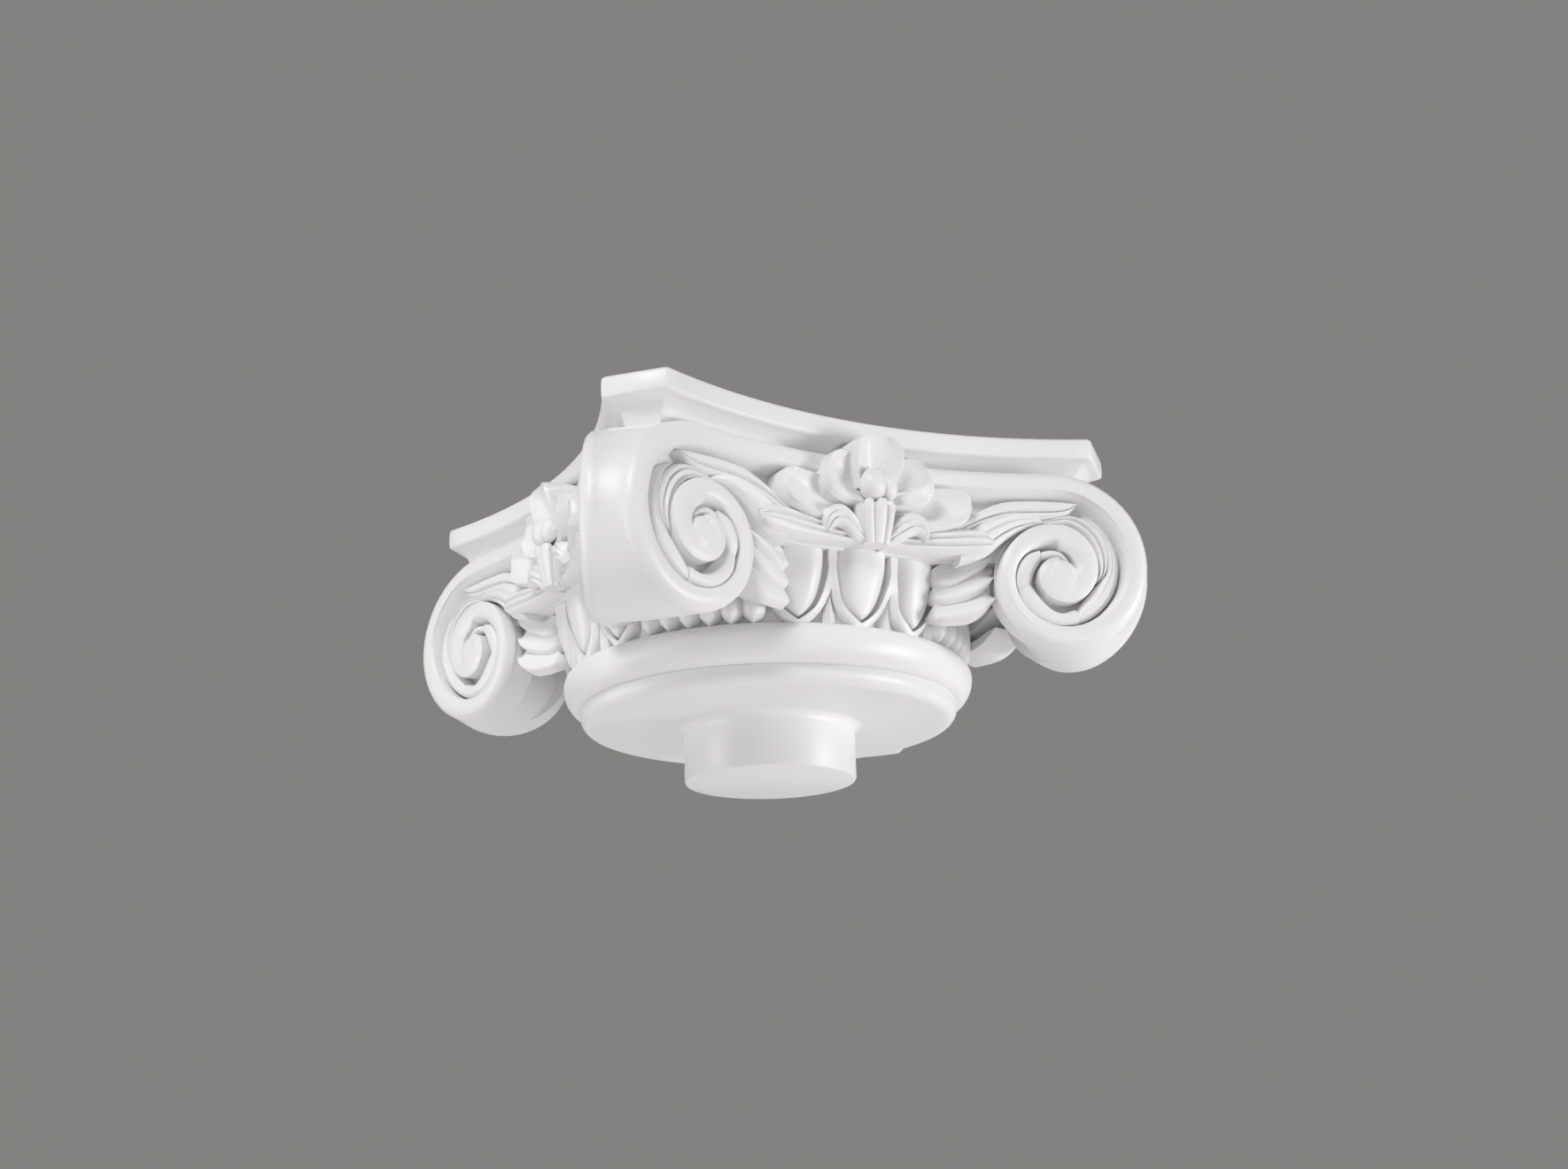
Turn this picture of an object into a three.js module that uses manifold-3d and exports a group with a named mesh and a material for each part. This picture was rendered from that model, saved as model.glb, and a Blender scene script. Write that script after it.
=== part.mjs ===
// Ionic capital with four concave faces and angle volutes, moulded in one piece.
// Millimetres, +Z up. The origin is at the middle of the spigot's underside.

import * as THREE from 'three';
import { mergeVertices } from 'three/addons/utils/BufferGeometryUtils.js';
import Module from 'manifold-3d';

const wasm = await Module();
wasm.setup();

// The driving dimension: half the width of the abacus, from tip to tip.
const HALF_SIDE = 180;
const share = (ratio) => ratio * HALF_SIDE;
const UP = new THREE.Vector3(0, 0, 1);

// Abacus: a square slab with hollow sides, cut corners and a cavetto under its fascia.
const HEIGHT = share(1.13);
const CORNER_CUT = share(0.166);
const SIDE_SAG = share(0.183);
const SIDE_STEPS = 6;
const FACE_PLANE = HALF_SIDE - SIDE_SAG;
const CHORD = HALF_SIDE - CORNER_CUT;
const SIDE_RADIUS = (CHORD ** 2 + SIDE_SAG ** 2) / (2 * SIDE_SAG);
const FASCIA_BOTTOM = share(1.064);
const FASCIA_ROUND = share(0.007);
const CAVETTO_TOP = share(1.05);
const CAVETTO_BOTTOM = share(0.985);
const CAVETTO_DEPTH = share(0.055);
const LIP_STEP = share(0.016);
const FOOT_STEP = share(0.008);
const FOOT_DROP = share(0.035);
const CAVETTO_STEPS = 2;

// Neck: the spigot that enters the shaft, the bed ring that sits on it, and the torus.
const NECK_SIDES = 26;
const SPIGOT_RADIUS = share(0.3184);
const SPIGOT_CHAMFER = share(0.01);
const ROOT_FILLET = share(0.032);
const BED_HEIGHT = share(0.205);
const BED_RADIUS = share(0.702);
const BED_ROUND = share(0.045);
const TORUS_FOOT = share(0.272);
const TORUS_HEIGHT = share(0.36);
const TORUS_TOP = share(0.414);
const TORUS_BULGE = share(0.0625);
const TORUS_STEPS = 2;

// Egg-and-dart ring: an ovolo with eggs that lean out, and a dart between each two.
const OVOLO_FOOT_RADIUS = share(0.7);
const OVOLO_HEAD_RADIUS = share(0.755);
const OVOLO_BOTTOM = share(0.418);
const OVOLO_TOP = share(0.68);
const EGG_COUNT = 20;
const EGG_PITCH = (2 * Math.PI) / EGG_COUNT;
const EGG_SIDES = 6;
const EGG_ROWS = 4;
const EGG_HALF_WIDTH = share(0.093);
const EGG_HALF_HEIGHT = share(0.165);
const EGG_DEPTH = share(0.06);
const EGG_HEIGHT = share(0.595);
const EGG_RADIUS = share(0.738);
const EGG_LEAN = 0.22;
const DART_RADIUS = share(0.02);
const DART_LENGTH = share(0.13);
const DART_HEIGHT = share(0.465);
const DART_OUT = share(0.727);

// Faces: depth of the carved channel, and the lean that brings a face's right end forward.
const FLOOR_DEPTH = share(0.066);
const FACE_OUT = share(0.024);
const FACE_LEAN = 0.035;
const BLOCK_BOTTOM = share(0.63);
const BLOCK_TOP = share(0.967);

// Volutes: a spiral that shrinks by the same ratio every quarter turn.
const SPIRAL_U = share(0.697);
const SPIRAL_V = share(0.605);
const SPIRAL_RADIUS = share(0.368);
const QUARTER_SHRINK = 0.84;
const FULL_TURN = 2 * Math.PI;
const BAND_WIDTH = share(0.078);
const BAND_SWELL = share(0.014);
const BAND_ROUND = share(0.016);
const BAND_COVE = share(0.028);
const DRUM_STEPS = 12;
const DRUM_TURN = 0.97 * FULL_TURN;
const DRUM_STATIONS = [0.22, 0.5, 0.78];
const DRUM_SAG = 0.035;
const DRUM_FLOOR = share(0.052);
const STRAIGHT_STEPS = 6;
const STRAIGHT_DEPTH = share(0.004);
const STRAIGHT_BACK = share(0.11);
const INNER_START = 0.94 * FULL_TURN;
const INNER_END = 1.8 * FULL_TURN;
const INNER_STEPS = 7;
const INNER_CLIMB = share(0.03);
const INNER_BACK = share(0.08);
const EYE_GROWTH = share(0.03);

// Husks: a chain of leaves that fills the scroll's channel.
const HUSK_TURN = 0.84 * FULL_TURN;
const HUSK_STEPS = 8;
const HUSK_LEAD = 2;
const HUSK_RUN = share(0.16);
const HUSK_TAPER = share(0.024);
const HUSK_BEAT = 2;
const HUSK_FILL = 0.85;
const HUSK_WAIST = 0.6;
const HUSK_RIDGE = 0.1;
const HUSK_CREST = share(-0.018);
const HUSK_NOTCH = share(0.02);

// Lower leaves, below the flower. The blade sizes serve the husks and petals too.
const LEAF_STATIONS = 4;
const LEAF_TIP = 0.25;
const LEAF_START = 0.2;
const LEAF_SPAN = 0.75;
const LEAF_ROOT_U = share(0.05);
const LEAF_TIP_U = share(0.47);
const LEAF_V = share(0.694);
const LEAF_HALF = share(0.055);
const LEAF_CREST = share(-0.01);
const LEAF_EDGE = 0.55;
const LEAF_RIDGE = 0.4;
const BLADE_SLOPE = share(0.012);
const BLADE_ROOT = share(0.1);

// Flower: a ring of petals round a ribbed cup that holds a bud.
const FLOWER_V = share(0.865);
const FLOWER_RADIUS = share(0.2);
const FLOWER_SPREAD = 1.6;
const PETAL_COUNT = 5;
const PETAL_POINTS = 3;
const PETAL_NOTCH = 0.3;
const PETAL_LIFT = share(0.035);
const PETAL_ROOT = 0.96;
const PETAL_BACK = share(0.14);
const PETAL_HEART = 0.45;
const CUP_SIDES = 8;
const CUP_RIB = 0.88;
const CUP_DEPTH = 1;

// Palmettes: three lobes between the eggs and each scroll.
const PALM_ROOT_U = share(0.25);
const PALM_TIP_U = share(0.5);
const PALM_V = share(0.52);
const PALM_HALF = share(0.13);
const PALM_LOBES = 3;
const PALM_FOOT = 0.75;
const PALM_RISE = 0.2;
const PALM_CREST = share(-0.07);
const PALM_BACK = share(0.2);
const PALM_STATIONS = 2;

// A point on the front side of the abacus: u along the hollow side, v up, w out from its line.
function alongSide(u, v, w) {
  const angle = u / SIDE_RADIUS;
  const reach = SIDE_RADIUS - w;
  const y = reach * Math.cos(angle) - FACE_PLANE - SIDE_RADIUS;
  return new THREE.Vector3(reach * Math.sin(angle), y, v);
}

// A point on the carved front face, which leans a little out of the line of the abacus.
function bend(u, v, w) {
  return alongSide(u, v, w + FACE_OUT + FACE_LEAN * u);
}

// The same point on the next face round the corner.
function turnCorner(point) {
  return point.applyAxisAngle(UP, Math.PI / 2);
}

// A closed skin over a row of rings, each with the same number of points, with both ends closed.
function loft(rings) {
  const count = rings[0].length;
  const last = rings.length - 1;
  const points = rings.flat();
  for (const ring of [rings[0], rings[last]]) {
    const middle = new THREE.Vector3();
    ring.forEach((point) => middle.addScaledVector(point, 1 / count));
    points.push(middle);
  }
  const index = [];
  for (let k = 0; k < count; k++) {
    const next = (k + 1) % count;
    for (let row = 0; row < last; row++) {
      const low = row * count;
      const high = low + count;
      index.push(low + k, low + next, high + next, low + k, high + next, high + k);
    }
    index.push(next, k, points.length - 2);
    index.push(last * count + k, last * count + next, points.length - 1);
  }
  const geometry = new THREE.BufferGeometry().setFromPoints(points);
  geometry.setIndex(index);
  return geometry;
}

// A closed geometry as a solid, with its faces turned outwards.
function solid(geometry) {
  const shape = geometry.clone();
  shape.deleteAttribute('normal');
  shape.deleteAttribute('uv');
  const welded = mergeVertices(shape, 1e-4);
  const places = welded.attributes.position;
  const corner = (i) => new THREE.Vector3().fromBufferAttribute(places, i);
  const faces = [];
  let volume = 0;
  for (let i = 0; i < welded.index.count; i += 3) {
    const [a, b, c] = [0, 1, 2].map((k) => welded.index.getX(i + k));
    if (a === b || b === c || c === a) continue;
    faces.push([a, b, c]);
    volume += corner(a).dot(corner(b).cross(corner(c)));
  }
  const outward = volume > 0 ? faces : faces.map(([a, b, c]) => [a, c, b]);
  const triVerts = new Uint32Array(outward.flat());
  const vertProperties = new Float32Array(places.array);
  return new wasm.Manifold(new wasm.Mesh({ numProp: 3, vertProperties, triVerts }));
}

// The plan of the abacus or of the carved block at one level, drawn in by an inset all round.
function planRing(place, inset, z) {
  const reach = SIDE_RADIUS + inset;
  const cutLine = CHORD + HALF_SIDE - Math.SQRT2 * inset;
  const centre = FACE_PLANE + SIDE_RADIUS;
  const limit = Math.PI / 4 + Math.asin((cutLine - centre) / (Math.SQRT2 * reach));
  const ring = [];
  for (let side = 0; side < 4; side++) {
    for (let k = 0; k <= SIDE_STEPS; k++) {
      const point = place(limit * SIDE_RADIUS * ((2 * k) / SIDE_STEPS - 1), z, -inset);
      ring.push(point.applyAxisAngle(UP, (side * Math.PI) / 2));
    }
  }
  return ring;
}

function abacus() {
  const level = (inset, z) => planRing(alongSide, inset, z);
  const rings = [level(CAVETTO_DEPTH + LIP_STEP + FOOT_STEP, CAVETTO_BOTTOM - FOOT_DROP)];
  for (let k = 0; k <= CAVETTO_STEPS; k++) {
    const angle = (k / CAVETTO_STEPS) * (Math.PI / 2);
    const rise = (CAVETTO_TOP - CAVETTO_BOTTOM) * Math.sin(angle) ** 2;
    rings.push(level(LIP_STEP + CAVETTO_DEPTH * Math.cos(angle), CAVETTO_BOTTOM + rise));
  }
  rings.push(level(FASCIA_ROUND, FASCIA_BOTTOM - FASCIA_ROUND));
  rings.push(level(0, FASCIA_BOTTOM));
  rings.push(level(0, HEIGHT));
  return loft(rings);
}

// The body behind the carved faces, with the same hollow plan.
function block() {
  return loft([BLOCK_BOTTOM, BLOCK_TOP].map((z) => planRing(bend, FLOOR_DEPTH, z)));
}

function neck() {
  const profile = [[0, 0], [SPIGOT_RADIUS - SPIGOT_CHAMFER, 0], [SPIGOT_RADIUS, SPIGOT_CHAMFER]];
  profile.push([SPIGOT_RADIUS, BED_HEIGHT - ROOT_FILLET], [SPIGOT_RADIUS + ROOT_FILLET, BED_HEIGHT]);
  for (let k = 0; k <= 2; k++) {
    const angle = (k / 2) * (Math.PI / 2);
    const out = BED_RADIUS - BED_ROUND * (1 - Math.sin(angle));
    profile.push([out, BED_HEIGHT + BED_ROUND * (1 - Math.cos(angle))]);
  }
  for (let k = 0; k <= 2 * TORUS_STEPS; k++) {
    const angle = (k / TORUS_STEPS - 1) * (Math.PI / 2);
    const tall = angle < 0 ? TORUS_HEIGHT - TORUS_FOOT : TORUS_TOP - TORUS_HEIGHT;
    profile.push([BED_RADIUS + TORUS_BULGE * Math.cos(angle), TORUS_HEIGHT + tall * Math.sin(angle)]);
  }
  profile.push([OVOLO_FOOT_RADIUS, OVOLO_BOTTOM], [OVOLO_HEAD_RADIUS, OVOLO_TOP], [0, OVOLO_TOP]);
  const turned = new THREE.LatheGeometry(profile.map(([r, z]) => new THREE.Vector2(r, z)), NECK_SIDES);
  return turned.rotateX(Math.PI / 2);
}

// One egg, standing on the +X side of the ring and leaning outwards.
function egg() {
  const ball = new THREE.SphereGeometry(1, EGG_SIDES, EGG_ROWS).rotateX(Math.PI / 2);
  ball.scale(EGG_DEPTH, EGG_HALF_WIDTH, EGG_HALF_HEIGHT);
  return ball.rotateY(EGG_LEAN).translate(EGG_RADIUS, 0, EGG_HEIGHT);
}

// One dart: a thin spike that points down between two eggs.
function dart() {
  const spike = new THREE.ConeGeometry(DART_RADIUS, DART_LENGTH, 4).rotateX(-Math.PI / 2);
  return spike.rotateY(EGG_LEAN).translate(DART_OUT, 0, DART_HEIGHT).rotateZ(EGG_PITCH / 2);
}

const spiralRadius = (turn) => SPIRAL_RADIUS * QUARTER_SHRINK ** (turn / (Math.PI / 2));

const bandWidth = (turn) => BAND_WIDTH + BAND_SWELL * Math.cos(turn);

// A point of a scroll: a turn from the top, a distance from the spiral's middle, and a height.
function scrollPoint(side, turn, reach, w) {
  return bend(side * (SPIRAL_U + reach * Math.sin(turn)), SPIRAL_V + reach * Math.cos(turn), w);
}

// The band's section at one place: distances in from its outer edge, and heights.
function bandSection(width, front, back) {
  const rim = [[0, back], [0, front - BAND_ROUND], [BAND_ROUND, front]];
  return [...rim, [width - BAND_COVE, front], [width, back]];
}

// The band that runs along the top of a face from scroll to scroll.
function straightBand() {
  const rings = [];
  const section = bandSection(bandWidth(0), -STRAIGHT_DEPTH, -STRAIGHT_BACK);
  for (let k = -STRAIGHT_STEPS; k <= STRAIGHT_STEPS; k += 2) {
    const u = SPIRAL_U * (k / STRAIGHT_STEPS);
    const top = SPIRAL_V + SPIRAL_RADIUS - STRAIGHT_DEPTH;
    rings.push(section.map(([inward, w]) => bend(u, top - inward, w)));
  }
  return loft(rings);
}

// The scroll's inner turn, which climbs towards the eye and widens until it fills the middle.
function innerTurn(side) {
  const rings = [];
  for (let k = 0; k <= INNER_STEPS; k++) {
    const t = k / INNER_STEPS;
    const turn = THREE.MathUtils.lerp(INNER_START, INNER_END, t);
    const front = INNER_CLIMB * t - STRAIGHT_DEPTH;
    const width = bandWidth(turn) + EYE_GROWTH * t ** 2;
    const outer = [[0, -INNER_BACK], [BAND_ROUND / 2, front]];
    const section = [...outer, [width - BAND_COVE, front], [width, -INNER_BACK]];
    rings.push(section.map(([inward, w]) => scrollPoint(side, turn, spiralRadius(turn) - inward, w)));
  }
  return loft(rings);
}

// One angle volute: the right scroll of the front face, carried round the corner to the next face's left one.
function drum() {
  const outline = (side, inset, w) => Array.from({ length: DRUM_STEPS + 1 }, (_, k) => {
    const turn = (k / DRUM_STEPS) * DRUM_TURN;
    return scrollPoint(side, turn, spiralRadius(turn) - inset(turn), w);
  });
  const end = (side) => [
    outline(side, (turn) => bandWidth(turn), -DRUM_FLOOR),
    outline(side, (turn) => bandWidth(turn) - BAND_COVE, 0),
    outline(side, () => BAND_ROUND, 0),
    outline(side, () => 0, -BAND_ROUND),
  ];
  const near = end(1);
  const far = end(-1).map((ring) => ring.map(turnCorner)).reverse();
  const nearHeart = scrollPoint(1, 0, 0, -BAND_ROUND);
  const farHeart = turnCorner(scrollPoint(-1, 0, 0, -BAND_ROUND));
  const between = (t) => {
    const pinch = 1 - DRUM_SAG * 4 * t * (1 - t);
    const axis = nearHeart.clone().lerp(farHeart, t);
    return near[near.length - 1].map((p, k) => {
      const place = p.clone().lerp(far[0][k], t);
      return place.sub(axis).multiplyScalar(pinch).add(axis);
    });
  };
  return loft([...near, ...DRUM_STATIONS.map(between), ...far]);
}

// The chain of husks: it starts beside the flower and follows the channel, narrow at each leaf's tip.
function husks(side) {
  const rings = [];
  for (let k = -HUSK_LEAD; k <= HUSK_STEPS; k++) {
    const turn = (Math.max(k, 0) / HUSK_STEPS) * HUSK_TURN;
    const lead = Math.max(-k, 0);
    const outer = spiralRadius(turn) - bandWidth(turn) - HUSK_TAPER * lead;
    const inner = spiralRadius(turn + FULL_TURN) - 2 * HUSK_TAPER * lead;
    const grown = k % HUSK_BEAT === 0 ? 1 : 0;
    const half = 0.5 * HUSK_FILL * (outer - inner) * (grown === 1 ? 1 : HUSK_WAIST);
    const crest = HUSK_CREST - HUSK_NOTCH * (1 - grown);
    const section = [[-1, -BLADE_ROOT], [HUSK_RIDGE, crest], [1, -BLADE_ROOT]];
    const middle = 0.5 * (outer + inner);
    rings.push(section.map(([across, w]) => {
      const reach = middle + half * across;
      if (lead === 0) return scrollPoint(side, turn, reach, w);
      return bend(side * (SPIRAL_U - HUSK_RUN * lead), SPIRAL_V + reach, w);
    }));
  }
  return loft(rings);
}

// The long leaf that springs sideways from under the flower and covers the tops of the eggs.
function lowerLeaf(side) {
  const rings = [];
  for (let k = 0; k < LEAF_STATIONS; k++) {
    const t = k / (LEAF_STATIONS - 1);
    const swell = Math.sin(Math.PI * (LEAF_START + LEAF_SPAN * t));
    const half = LEAF_HALF * (LEAF_TIP + (1 - LEAF_TIP) * swell);
    const u = side * THREE.MathUtils.lerp(LEAF_ROOT_U, LEAF_TIP_U, t);
    const low = [[-1, -BLADE_ROOT], [-LEAF_EDGE, LEAF_CREST - BLADE_SLOPE]];
    const section = [...low, [LEAF_RIDGE, LEAF_CREST], [1, -BLADE_ROOT]];
    rings.push(section.map(([across, w]) => bend(u, LEAF_V + half * across, w)));
  }
  return loft(rings);
}

// Three lobes that fan out from the eggs to the scroll.
function palmette(side) {
  const rings = [];
  const points = 2 * PALM_LOBES + 1;
  for (let k = 0; k < PALM_STATIONS; k++) {
    const t = k / (PALM_STATIONS - 1);
    const u = THREE.MathUtils.lerp(PALM_ROOT_U, PALM_TIP_U, t);
    const half = PALM_HALF * THREE.MathUtils.lerp(PALM_FOOT, 1, t);
    const ring = [];
    for (let p = 0; p < points; p++) {
      const across = (2 * p) / (points - 1) - 1;
      const hollow = p % 2 === 0 ? 2 * BLADE_SLOPE : 0;
      ring.push(bend(side * u, PALM_V + half * (across + PALM_RISE * t), PALM_CREST - hollow));
    }
    ring.push(bend(side * u, PALM_V + half, -PALM_BACK), bend(side * u, PALM_V - half, -PALM_BACK));
    rings.push(ring);
  }
  return loft(rings);
}

// The open flower: petals that curl up towards their ends, with a notch between each two.
function petals() {
  const count = PETAL_COUNT * PETAL_POINTS;
  const levels = [[PETAL_ROOT, -PETAL_BACK], [1, PETAL_LIFT], [PETAL_HEART, 0]];
  return loft(levels.map(([scale, w]) => Array.from({ length: count }, (_, k) => {
    const turn = ((k + 0.5) / count) * FULL_TURN;
    const notch = k % PETAL_POINTS === 1 ? PETAL_NOTCH : 0;
    const reach = scale * FLOWER_RADIUS * (1 - notch);
    return bend(FLOWER_SPREAD * reach * Math.sin(turn), FLOWER_V + reach * Math.cos(turn), w);
  })));
}

// The flower's ribbed cup and the round bud above it: heights and half widths from the bottom up.
function cup() {
  const levels = [[0.67, 0.05], [0.76, 0.08], [0.82, 0.055], [0.87, 0.062], [0.92, 0.03]];
  return loft(levels.map(([v, half]) => Array.from({ length: CUP_SIDES }, (_, k) => {
    const turn = (k / CUP_SIDES) * FULL_TURN;
    const reach = share(half) * (k % 2 === 0 ? 1 : CUP_RIB);
    return bend(reach * Math.cos(turn), share(v), CUP_DEPTH * reach * Math.sin(turn));
  })));
}

function frontFace() {
  const shapes = [straightBand(), petals(), cup()];
  for (const side of [1, -1]) {
    shapes.push(innerTurn(side), husks(side), lowerLeaf(side), palmette(side));
  }
  return shapes;
}

// One quarter, turned to the four sides and joined to the body.
function capitalGeometry() {
  const quarter = [...frontFace(), drum()];
  for (let k = 0; k < EGG_COUNT / 4; k++) {
    quarter.push(egg().rotateZ(k * EGG_PITCH), dart().rotateZ(k * EGG_PITCH));
  }
  const shapes = [neck(), block(), abacus()];
  for (let side = 0; side < 4; side++) {
    quarter.forEach((shape) => shapes.push(shape.clone().rotateZ((side * Math.PI) / 2)));
  }
  const whole = wasm.Manifold.union(shapes.map(solid));
  const mesh = whole.getMesh();
  const geometry = new THREE.BufferGeometry();
  geometry.setAttribute('position', new THREE.BufferAttribute(mesh.vertProperties, mesh.numProp));
  geometry.setIndex(new THREE.BufferAttribute(mesh.triVerts, 1));
  geometry.computeVertexNormals();
  return geometry;
}

const whiteMoulding = new THREE.MeshStandardMaterial({ color: 0xe9e8e5, roughness: 0.45, metalness: 0 });
const capital = new THREE.Mesh(capitalGeometry(), whiteMoulding);
capital.name = 'capital';

const part = new THREE.Group();
part.add(capital);
export default part;
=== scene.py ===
"""Angular Ionic capital, moulded in one piece: the carved look over the CAD shapes."""

import math

import bmesh
import bpy
from mathutils import Matrix, Vector


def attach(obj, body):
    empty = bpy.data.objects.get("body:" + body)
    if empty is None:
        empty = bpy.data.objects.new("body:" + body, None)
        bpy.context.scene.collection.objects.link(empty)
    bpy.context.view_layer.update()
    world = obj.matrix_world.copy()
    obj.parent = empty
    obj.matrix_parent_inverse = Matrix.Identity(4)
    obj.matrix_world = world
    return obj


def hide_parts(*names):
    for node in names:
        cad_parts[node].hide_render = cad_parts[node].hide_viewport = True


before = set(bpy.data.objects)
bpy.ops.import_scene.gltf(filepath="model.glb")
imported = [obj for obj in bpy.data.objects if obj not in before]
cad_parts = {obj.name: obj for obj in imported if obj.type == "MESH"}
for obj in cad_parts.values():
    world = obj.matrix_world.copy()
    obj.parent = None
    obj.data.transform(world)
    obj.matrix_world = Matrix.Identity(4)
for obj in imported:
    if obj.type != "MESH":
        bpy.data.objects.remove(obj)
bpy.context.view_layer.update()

bl_info = {
    "name": "Ionic capital",
    "version": (1, 0, 0),
    "blender": (4, 5, 0),
    "location": "View3D > Sidebar > Capital",
    "description": "Builds a moulded Ionic capital with four angle volutes",
    "category": "Object",
}

# Half the width of the abacus in metres. Every other length of the capital is a share of it.
HALF_SIDE = 0.18
QUARTER = math.pi / 2
FULL_TURN = 2 * math.pi

# Points nearer to each other than this, in metres, are welded.
MERGE = 2e-6

# Edges that bend more than this are shaded sharp.
SHARP_ANGLE = math.radians(38)

# Abacus plan: cut corners with softened edges, and hollow sides.
CORNER_CUT = 0.166
SIDE_SAG = 0.183
SOFT_CORNER = 0.035
SOFT_START = 0.2 * SOFT_CORNER
CHORD = 1 - CORNER_CUT
SIDE_RADIUS = (CHORD**2 + SIDE_SAG**2) / (2 * SIDE_SAG)

# Heights of the main forms.
HEIGHT = 1.13
BED_HEIGHT = 0.205
TORUS_HEIGHT = 0.36
OVOLO_TOP = 0.68
BLOCK_BOTTOM = 0.658
BLOCK_TOP = 0.962

# Carved faces: heights are measured outwards from the face.
# The channel's floor lies behind it, and the leaves are rooted deeper still.
FLOOR = -0.066
ROOT = -0.15

# Each face stands out from the line of the abacus, and a little further on its right.
FACE_OUT = 0.024
FACE_LEAN = 0.035

# Scrolls: the middle of the right one on its face.
# Then the band's outer radius, its width and the height of its top at each quarter turn.
SPIRAL_U = 0.697
SPIRAL_V = 0.605
SPIRAL_RADII = ((0.368,), (0.309,), (0.257,), (0.213,), (0.178,), (0.14,), (0.111,), (0.077,), (0.05,))
BAND_WIDTHS = ((0.095,), (0.088,), (0.068,), (0.06,), (0.094,), (0.09,), (0.1,), (0.074,), (0.048,))
BAND_TOPS = ((0,), (0,), (0,), (0.002,), (0.008,), (0.014,), (0.018,), (0.02,), (0.02,))
BAND_TURNS = 1.995

# Hollow along the band's inner edge: least width, what is added at most, and the turn where it is widest.
COVE_LEAST = 0.004
COVE_ADDED = 0.024
COVE_TURN = 0.6

# Swelling of the band's outer rim, which dies away after some quarter turns.
RIM_SWELL = 0.014
SWELL_QUARTERS = 2.4

# Bolsters: how much of a turn they make, how far they stand past the band and behind its face,
# their belly below and their waist.
DRUM_TURNS = 0.97
DRUM_OUT = 0.0135
DRUM_BACK = -0.045
DRUM_BELLY = 0.035
DRUM_WAIST = 0.016


def mix(low, high, share):
    """Value between low and high."""
    return low + (high - low) * share


def ease(share):
    """Smooth step from 0 to 1."""
    share = min(max(share, 0), 1)
    return share * share * (3 - 2 * share)


def along(points, share):
    """Point at a share of the way along a smooth curve through the points."""
    last = len(points) - 1
    place = min(max(share, 0), 1) * last
    index = min(int(place), last - 1)
    part = place - index
    before = points[max(index - 1, 0)]
    start = points[index]
    end = points[index + 1]
    after = points[min(index + 2, last)]
    result = []
    for earlier, low, high, later in zip(before, start, end, after):
        slope_in = 0.5 * (high - earlier)
        slope_out = 0.5 * (later - low)
        cubic = 2 * (low - high) + slope_in + slope_out
        square = 3 * (high - low) - 2 * slope_in - slope_out
        result.append(((cubic * part + square) * part + slope_in) * part + low)
    return result


def on_side(u, v, w):
    """Place on the front side of the abacus: u along the hollow side, v up, w out from its line."""
    angle = u / SIDE_RADIUS
    reach = SIDE_RADIUS - w
    y = reach * math.cos(angle) - (1 - SIDE_SAG) - SIDE_RADIUS
    return Vector((reach * math.sin(angle), y, v)) * HALF_SIDE


def on_face(u, v, w):
    """Place on the carved front face, which stands a little proud on its right."""
    return on_side(u, v, w + FACE_OUT + FACE_LEAN * u)


def on_ring(turn, radius, z):
    """Place on a ring round the axis: turn from the front."""
    return Vector((radius * math.sin(turn), -radius * math.cos(turn), z)) * HALF_SIDE


def wrapped(rows, columns, place):
    """Closed skin of rows of points, each row a loop, with both ends closed."""
    mesh = bmesh.new()
    bmesh.ops.create_grid(mesh, x_segments=columns, y_segments=rows, size=1)
    for vert in mesh.verts:
        column = round((vert.co.x + 1) / 2 * columns)
        row = round((vert.co.y + 1) / 2 * rows)
        vert.co = place(row / rows, column % columns)
    return closed(mesh)


def closed(mesh):
    """Weld seams and poles, fill open ends and turn the faces outwards."""
    bmesh.ops.remove_doubles(mesh, verts=mesh.verts, dist=MERGE)
    rim = [edge for edge in mesh.edges if edge.is_boundary]
    bmesh.ops.holes_fill(mesh, edges=rim, sides=0)
    bmesh.ops.recalc_face_normals(mesh, faces=mesh.faces)
    if mesh.calc_volume(signed=True) < 0:
        bmesh.ops.reverse_faces(mesh, faces=mesh.faces)
    return mesh


def turned(profile, steps):
    """Body of revolution from a profile of radius and height."""
    mesh = bmesh.new()
    verts = [mesh.verts.new(Vector((0, -radius, z)) * HALF_SIDE) for radius, z in profile]
    edges = [mesh.edges.new(pair) for pair in zip(verts, verts[1:])]
    bmesh.ops.spin(
        mesh,
        geom=verts + edges,
        cent=(0, 0, 0),
        axis=(0, 0, 1),
        angle=FULL_TURN,
        steps=steps,
        use_merge=True,
    )
    return closed(mesh)


def arc(middle, radii, start, end, steps):
    """Points of an elliptical arc in a profile; angles from straight out, turning up."""
    points = []
    for step in range(steps + 1):
        angle = mix(start, end, step / steps)
        radius = middle[0] + radii[0] * math.cos(angle)
        z = middle[1] + radii[1] * math.sin(angle)
        points.append((radius, z))
    return points


def keep(mesh, name):
    """New object in the scene from a mesh under construction."""
    data = bpy.data.meshes.new(name)
    mesh.to_mesh(data)
    mesh.free()
    item = bpy.data.objects.new(name, data)
    bpy.context.scene.collection.objects.link(item)
    return item


def united(name, meshes):
    """One closed object from overlapping closed bodies."""
    items = [keep(mesh, name) for mesh in meshes]
    return join(items[0], items[1:])


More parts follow.
